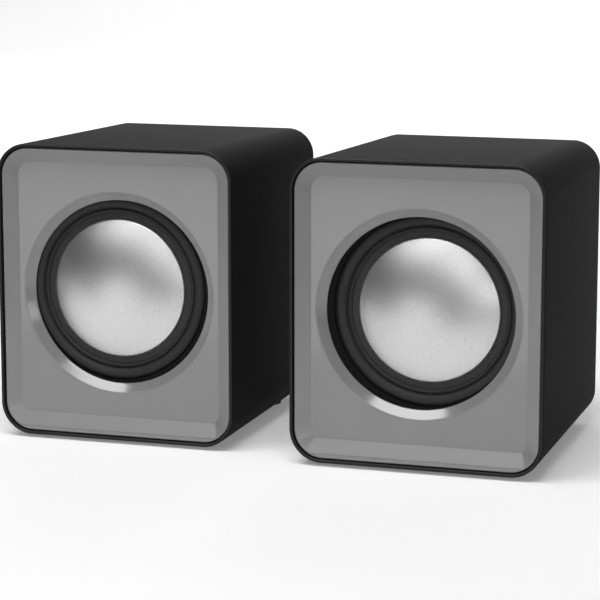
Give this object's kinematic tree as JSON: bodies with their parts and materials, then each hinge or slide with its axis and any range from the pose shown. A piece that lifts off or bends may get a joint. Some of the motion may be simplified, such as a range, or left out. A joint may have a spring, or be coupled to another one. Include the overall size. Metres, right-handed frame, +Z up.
{
  "type": "desktop speakers",
  "caption": "Pair of small box-shaped powered desktop speakers, each with a dished grey front, one driver with a domed silver cap, and a black cabinet.",
  "frame": {"origin": "centre of the pair's outline on the plane that the feet stand on", "axes": "+X from the left speaker to the right one as a viewer in front sees them, -Y the way the fronts face, +Z up"},
  "size_m": [0.1724, 0.0926, 0.091],
  "materials": {
    "cabinet_plastic": "fine matt texture",
    "bezel_plastic": "semi-gloss",
    "black_foam": "matt",
    "pressed_steel": "satin",
    "plated_steel": "zinc plated",
    "ferrite": "ground, matt",
    "treated_cloth": "resin-treated weave",
    "black_rubber": "fine matt texture",
    "black_cone": "matt",
    "satin_cap": "satin",
    "former_paper": "matt",
    "copper_wire": "enamelled",
    "terminal_board": "phenolic laminate",
    "tinned_brass": "tinned",
    "copper_braid": "braided",
    "zinc_screws": "zinc plated",
    "black_screws": "black passivated",
    "foot_rubber": "matt",
    "grommet_rubber": "satin",
    "circuit_laminate": "solder mask",
    "chip_resin": "moulded",
    "capacitor_sleeve": "shrunk sleeve",
    "control_body": "moulded",
    "shaft_metal": "turned",
    "knob_plastic": "fine matt texture",
    "lead_insulation": "satin"
  },
  "bodies": {
    "left_speaker": {"left_cabinet": "cabinet_plastic", "left_front_bezel": "bezel_plastic", "left_rear_cover": "cabinet_plastic", "left_gasket": "black_foam", "left_basket": "pressed_steel", "left_front_plate": "plated_steel", "left_magnet": "ferrite", "left_yoke": "plated_steel", "left_spider": "treated_cloth", "left_surround": "black_rubber", "left_terminal_strip": "terminal_board", "left_terminal_lugs": "tinned_brass", "left_tinsel_leads": "copper_braid", "left_driver_screws": "zinc_screws", "left_cover_screws": "black_screws", "left_feet": "foot_rubber", "left_cord_grommet": "grommet_rubber"},
    "left_diaphragm": {"left_cone": "black_cone", "left_dust_cap": "satin_cap", "left_coil_former": "former_paper", "left_coil_winding": "copper_wire"},
    "right_speaker": {"right_cabinet": "cabinet_plastic", "right_front_bezel": "bezel_plastic", "right_rear_cover": "cabinet_plastic", "right_gasket": "black_foam", "right_basket": "pressed_steel", "right_front_plate": "plated_steel", "right_magnet": "ferrite", "right_yoke": "plated_steel", "right_spider": "treated_cloth", "right_surround": "black_rubber", "right_terminal_strip": "terminal_board", "right_terminal_lugs": "tinned_brass", "right_tinsel_leads": "copper_braid", "right_driver_screws": "zinc_screws", "right_cover_screws": "black_screws", "right_feet": "foot_rubber", "right_cord_grommet": "grommet_rubber", "right_link_grommet": "grommet_rubber", "right_circuit_board": "circuit_laminate", "right_amplifier_chip": "chip_resin", "right_capacitors": "capacitor_sleeve", "right_volume_control": "control_body", "right_board_screws": "zinc_screws", "right_driver_leads": "lead_insulation"},
    "right_diaphragm": {"right_cone": "black_cone", "right_dust_cap": "satin_cap", "right_coil_former": "former_paper", "right_coil_winding": "copper_wire"},
    "volume_knob": {"right_volume_shaft": "shaft_metal", "right_volume_knob": "knob_plastic"}
  },
  "joints": [
    {"name": "left_cone_travel", "type": "slide", "parent": "left_speaker", "child": "left_diaphragm", "axis": [0, 1, 0], "range_m": [-0.0012, 0.0012], "stiffness_N_per_m": 900, "deforming": ["left_surround", "left_spider", "left_tinsel_leads"]},
    {"name": "right_speaker_placement", "type": "slide", "parent": "left_speaker", "child": "right_speaker", "axis": [1, 0, 0], "range_m": [0, 0.6]},
    {"name": "right_cone_travel", "type": "slide", "parent": "right_speaker", "child": "right_diaphragm", "axis": [0, 1, 0], "range_m": [-0.0012, 0.0012], "stiffness_N_per_m": 900, "deforming": ["right_surround", "right_spider", "right_tinsel_leads"]},
    {"name": "volume_turn", "type": "hinge", "parent": "right_speaker", "child": "volume_knob", "pos_m": [0.06025, 0.03975, 0.068], "axis": [0, -1, 0], "range_deg": [0, 280]}
  ]
}
